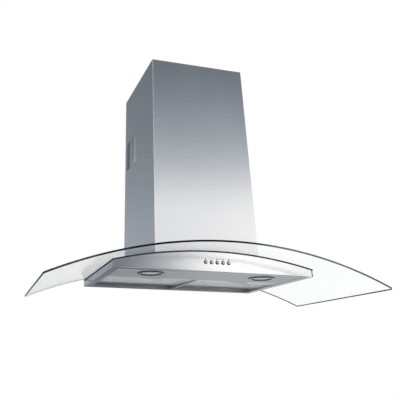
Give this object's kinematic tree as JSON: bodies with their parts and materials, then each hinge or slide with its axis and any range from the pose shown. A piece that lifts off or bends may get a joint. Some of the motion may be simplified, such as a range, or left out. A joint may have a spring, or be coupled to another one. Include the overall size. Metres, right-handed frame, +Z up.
{
  "type": "chimney range hood",
  "caption": "Wall-mounted chimney range hood with an arched clear glass canopy over a slim steel body with push buttons, round lamps and hinged grease filters.",
  "frame": {"origin": "middle of the four wall-fixing holes, on the wall plane at the back of the motor box", "axes": "+X to the right seen from the room, +Y into the wall, +Z up; the hood lies at negative Y"},
  "size_m": [0.9, 0.48, 0.6761],
  "materials": {
    "stainless": "fine brushed stainless sheet",
    "zinc_sheet": "zinc-coated sheet, dull",
    "clear_glass": "clear toughened glass",
    "black_rubber": "matte",
    "bright_steel": "bright plated",
    "black_plastic": "moulded, matte",
    "motor_paint": "satin",
    "white_plastic": "moulded, matte",
    "button_silver": "silver lacquered",
    "lamp_chrome": "polished",
    "lens_glass": "frosted",
    "cast_aluminium": "cast",
    "filter_aluminium": "satin"
  },
  "bodies": {
    "hood": {"canopy_frame": "stainless", "canopy_top": "stainless", "front_panel": "stainless", "lamp_panel": "stainless", "centre_beam": "stainless", "glass_canopy": "clear_glass", "glass_seal": "black_rubber", "glass_pads": "black_rubber", "glass_screws": "bright_steel", "glass_nuts": "bright_steel", "motor_box": "zinc_sheet", "box_screws": "bright_steel", "scroll_casing": "zinc_sheet", "fan_motor": "motor_paint", "motor_bracket": "zinc_sheet", "outlet_collar": "black_plastic", "collar_screws": "bright_steel", "flap_pin": "bright_steel", "control_box": "black_plastic", "cable_gland": "black_plastic", "capacitor": "white_plastic", "chimney_cover": "stainless", "cover_supports": "zinc_sheet", "button_guide": "black_plastic", "switch_block": "black_plastic", "lamp_ring_left": "lamp_chrome", "lamp_ring_right": "lamp_chrome", "lamp_lens_left": "lens_glass", "lamp_lens_right": "lens_glass", "lamp_can_left": "cast_aluminium", "lamp_can_right": "cast_aluminium", "lamp_board_left": "white_plastic", "lamp_board_right": "white_plastic"},
    "telescopic_cover": {"inner_cover": "stainless", "wall_bracket": "zinc_sheet", "bracket_rivets": "bright_steel"},
    "fan_wheel": {"impeller": "black_plastic", "motor_shaft": "bright_steel"},
    "front_flap": {"flap_front": "black_plastic"},
    "rear_flap": {"flap_rear": "black_plastic"},
    "button_off_cap": {"button_off": "button_silver"},
    "button_low_cap": {"button_low": "button_silver"},
    "button_middle_cap": {"button_middle": "button_silver"},
    "button_high_cap": {"button_high": "button_silver"},
    "button_light_cap": {"button_light": "button_silver"},
    "left_filter": {"filter_frame_left": "filter_aluminium", "filter_mesh_left": "filter_aluminium"},
    "left_latch": {"filter_latch_left": "filter_aluminium"},
    "right_filter": {"filter_frame_right": "filter_aluminium", "filter_mesh_right": "filter_aluminium"},
    "right_latch": {"filter_latch_right": "filter_aluminium"}
  },
  "joints": [
    {"name": "telescopic_cover_slide", "type": "slide", "parent": "hood", "child": "telescopic_cover", "axis": [0, 0, 1], "range_m": [0, 0.35]},
    {"name": "fan_wheel_spin", "type": "hinge", "parent": "hood", "child": "fan_wheel", "pos_m": [0, -0.1705, -0.002], "axis": [1, 0, 0], "continuous": true},
    {"name": "front_flap_hinge", "type": "hinge", "parent": "hood", "child": "front_flap", "pos_m": [0, -0.11, 0.15], "axis": [-1, 0, 0], "range_deg": [0, 75]},
    {"name": "rear_flap_hinge", "type": "hinge", "parent": "hood", "child": "rear_flap", "pos_m": [0, -0.11, 0.15], "axis": [1, 0, 0], "range_deg": [0, 75]},
    {"name": "button_off_press", "type": "slide", "parent": "hood", "child": "button_off_cap", "axis": [0, 1, 0], "range_m": [0, 0.0025], "stiffness_N_per_m": 400, "springref_m": -0.001},
    {"name": "button_low_press", "type": "slide", "parent": "hood", "child": "button_low_cap", "axis": [0, 1, 0], "range_m": [0, 0.0025], "stiffness_N_per_m": 400, "springref_m": -0.001},
    {"name": "button_middle_press", "type": "slide", "parent": "hood", "child": "button_middle_cap", "axis": [0, 1, 0], "range_m": [0, 0.0025], "stiffness_N_per_m": 400, "springref_m": -0.001},
    {"name": "button_high_press", "type": "slide", "parent": "hood", "child": "button_high_cap", "axis": [0, 1, 0], "range_m": [0, 0.0025], "stiffness_N_per_m": 400, "springref_m": -0.001},
    {"name": "button_light_press", "type": "slide", "parent": "hood", "child": "button_light_cap", "axis": [0, 1, 0], "range_m": [0, 0.0025], "stiffness_N_per_m": 400, "springref_m": -0.001},
    {"name": "left_filter_hinge", "type": "hinge", "parent": "hood", "child": "left_filter", "pos_m": [-0.12975, -0.0203, -0.16079], "axis": [1, 0, 0], "range_deg": [0, 60]},
    {"name": "left_latch_slide", "type": "slide", "parent": "left_filter", "child": "left_latch", "axis": [0, 0.9992, 0.0395], "range_m": [0, 0.004], "stiffness_N_per_m": 150, "springref_m": -0.002},
    {"name": "right_filter_hinge", "type": "hinge", "parent": "hood", "child": "right_filter", "pos_m": [0.12975, -0.0203, -0.16079], "axis": [1, 0, 0], "range_deg": [0, 60]},
    {"name": "right_latch_slide", "type": "slide", "parent": "right_filter", "child": "right_latch", "axis": [0, 0.9992, 0.0395], "range_m": [0, 0.004], "stiffness_N_per_m": 150, "springref_m": -0.002}
  ]
}
